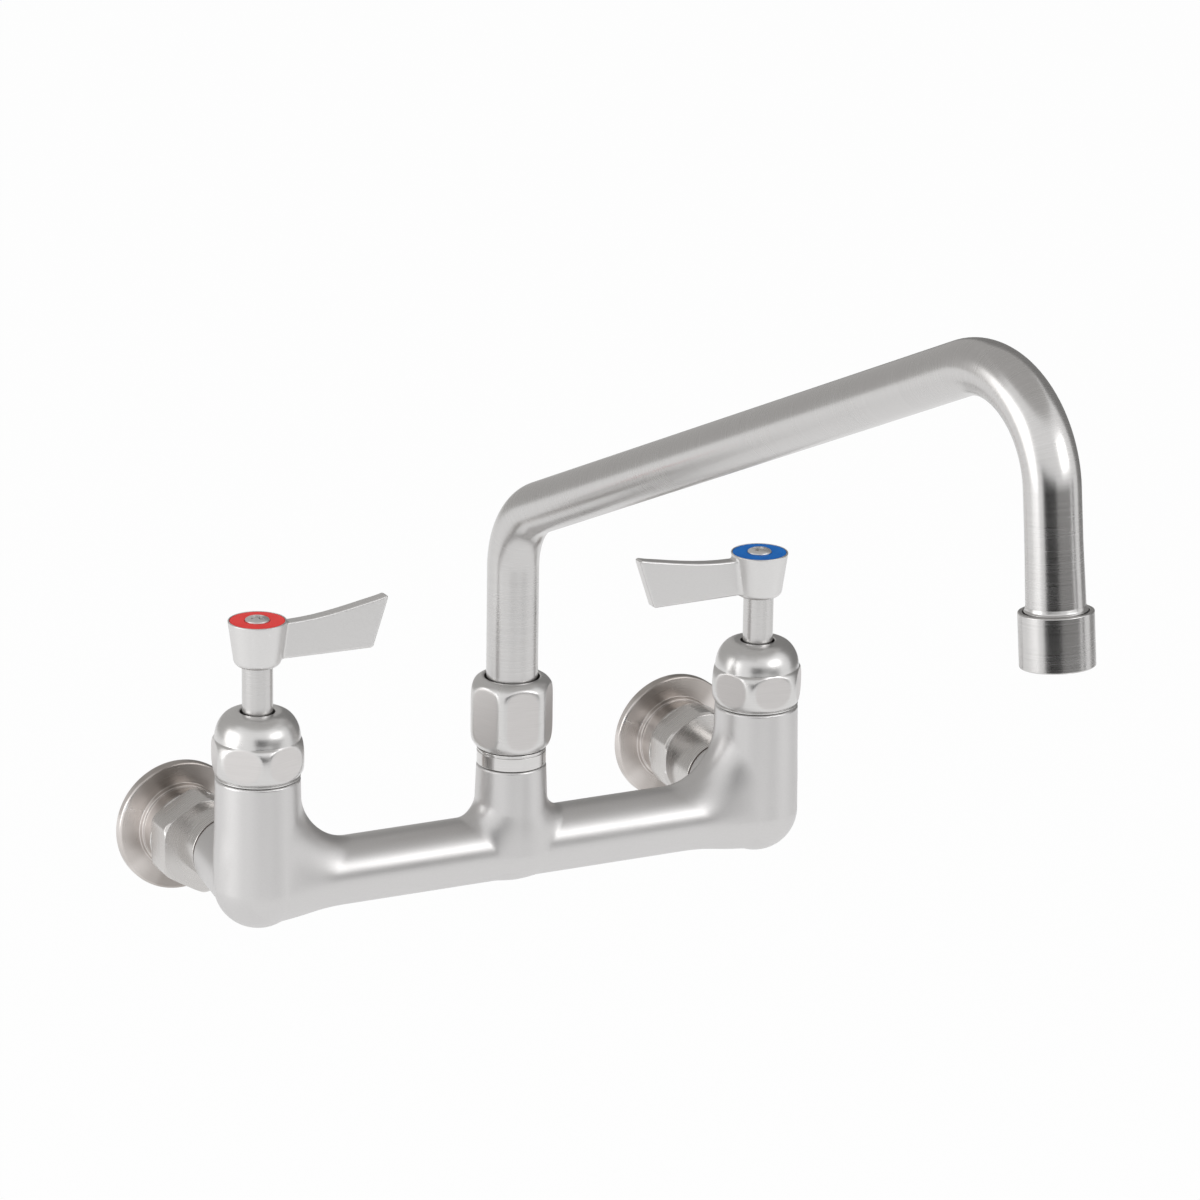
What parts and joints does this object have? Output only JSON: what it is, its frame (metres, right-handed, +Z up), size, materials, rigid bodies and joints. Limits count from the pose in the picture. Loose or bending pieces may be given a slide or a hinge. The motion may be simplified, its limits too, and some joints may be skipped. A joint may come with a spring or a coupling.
{
  "type": "wall mounted mixer tap",
  "caption": "Exposed wall mounted sink mixer in stainless steel with lever handles on a cross bar and a long bent swivel spout",
  "frame": {"origin": "midway between the two wall threads, on the plane of the wall", "axes": "+X along the wall from the hot side to the cold side, +Y into the wall, +Z up"},
  "size_m": [0.256, 0.4024, 0.2858],
  "materials": {
    "cast_steel": "satin, finely ground casting",
    "satin_steel": "satin, bead blasted and ground",
    "brushed_steel": "brushed",
    "turned_steel": "turned, fine rings",
    "polished_steel": "polished to a soft shine",
    "index_red": "glossy",
    "index_blue": "glossy",
    "white_plastic": "matte",
    "ceramic": "lapped ceramic",
    "brass": "machined",
    "fibre": "pressed fibre",
    "rubber": "matte"
  },
  "bodies": {
    "tap": {"body": "cast_steel", "hot_wall_flange": "turned_steel", "hot_inlet": "brushed_steel", "hot_inlet_washer": "fibre", "hot_inlet_o_ring": "rubber", "hot_seat_seal": "rubber", "hot_fixed_disc": "ceramic", "hot_valve_sleeve": "brass", "hot_bonnet_nut": "polished_steel", "cold_wall_flange": "turned_steel", "cold_inlet": "brushed_steel", "cold_inlet_washer": "fibre", "cold_inlet_o_ring": "rubber", "cold_seat_seal": "rubber", "cold_fixed_disc": "ceramic", "cold_valve_sleeve": "brass", "cold_bonnet_nut": "polished_steel", "spout_nipple": "polished_steel", "spout_nut": "polished_steel", "spout_glide_ring": "white_plastic"},
    "hot_handle": {"hot_moving_disc": "ceramic", "hot_spindle": "brushed_steel", "hot_spindle_o_ring": "rubber", "hot_lever": "satin_steel", "hot_index_ring": "index_red", "hot_lever_screw": "polished_steel"},
    "cold_handle": {"cold_moving_disc": "ceramic", "cold_spindle": "brushed_steel", "cold_spindle_o_ring": "rubber", "cold_lever": "satin_steel", "cold_index_ring": "index_blue", "cold_lever_screw": "polished_steel"},
    "spout": {"spout_foot": "polished_steel", "spout_o_ring": "rubber", "spout_tube": "brushed_steel", "spout_tip": "brushed_steel", "aerator_washer": "rubber", "aerator_insert": "white_plastic", "aerator_housing": "brushed_steel"}
  },
  "joints": [
    {"name": "hot_lever_turn", "type": "hinge", "parent": "tap", "child": "hot_handle", "pos_m": [-0.1016, -0.0722, 0.09], "axis": [0, 0, 1], "range_deg": [-90, 0]},
    {"name": "cold_lever_turn", "type": "hinge", "parent": "tap", "child": "cold_handle", "pos_m": [0.1016, -0.0722, 0.09], "axis": [0, 0, 1], "range_deg": [0, 90]},
    {"name": "spout_swivel", "type": "hinge", "parent": "tap", "child": "spout", "pos_m": [0, -0.0722, 0.055], "axis": [0, 0, 1], "range_deg": [-97.9, 82.1]}
  ]
}
